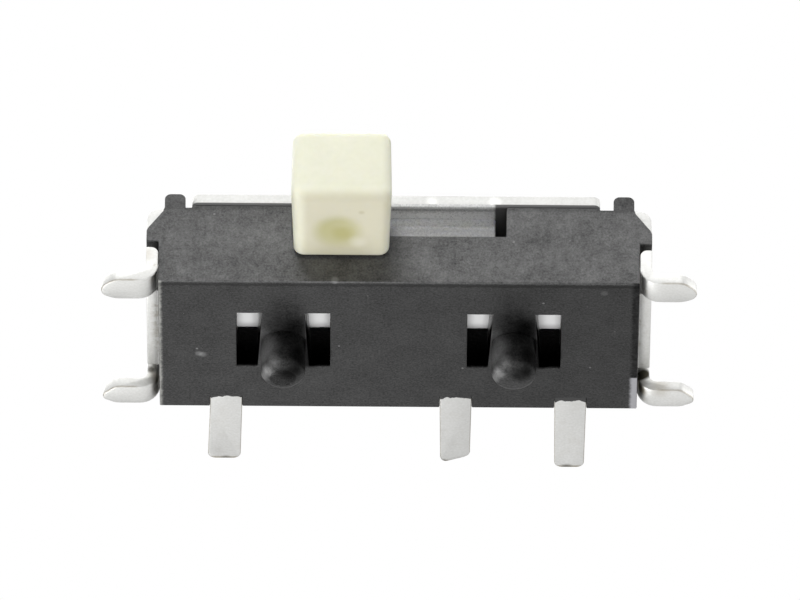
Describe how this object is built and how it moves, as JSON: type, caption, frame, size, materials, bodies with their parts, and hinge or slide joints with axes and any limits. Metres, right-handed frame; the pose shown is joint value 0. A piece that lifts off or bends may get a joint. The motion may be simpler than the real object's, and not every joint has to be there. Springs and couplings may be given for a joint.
{
  "type": "slide switch",
  "caption": "Miniature surface-mount slide switch pushed from the side: black moulded housing with locating pegs, folded metal cover with soldering feet, ivory sliding knob.",
  "frame": {"origin": "midway between the two locating pegs, on the seating plane that meets the circuit board", "axes": "+Z points away from the circuit board; -Y is the side with the knob; +Y is the side with the solder terminals; the knob travels towards +X from its rest position"},
  "size_m": [0.0078, 0.0053, 0.002],
  "materials": {
    "black_moulding": "fine matt grain, moulded",
    "tinned_cover": "bright tin over steel sheet",
    "ivory_moulding": "smooth satin, slightly translucent",
    "plated_strip": "silver-plated, satin",
    "contact_bronze": "rolled bronze strip",
    "spring_steel": "rolled spring strip"
  },
  "bodies": {
    "switch_body": {"housing": "black_moulding", "cover": "tinned_cover", "left_terminal": "plated_strip", "common_terminal": "plated_strip", "right_terminal": "plated_strip"},
    "knob_slider": {"slider": "ivory_moulding", "moving_contact": "contact_bronze", "detent_spring": "spring_steel"}
  },
  "joints": [
    {"name": "knob_travel", "type": "slide", "parent": "switch_body", "child": "knob_slider", "axis": [1, 0, 0], "range_m": [0, 0.0015]}
  ]
}
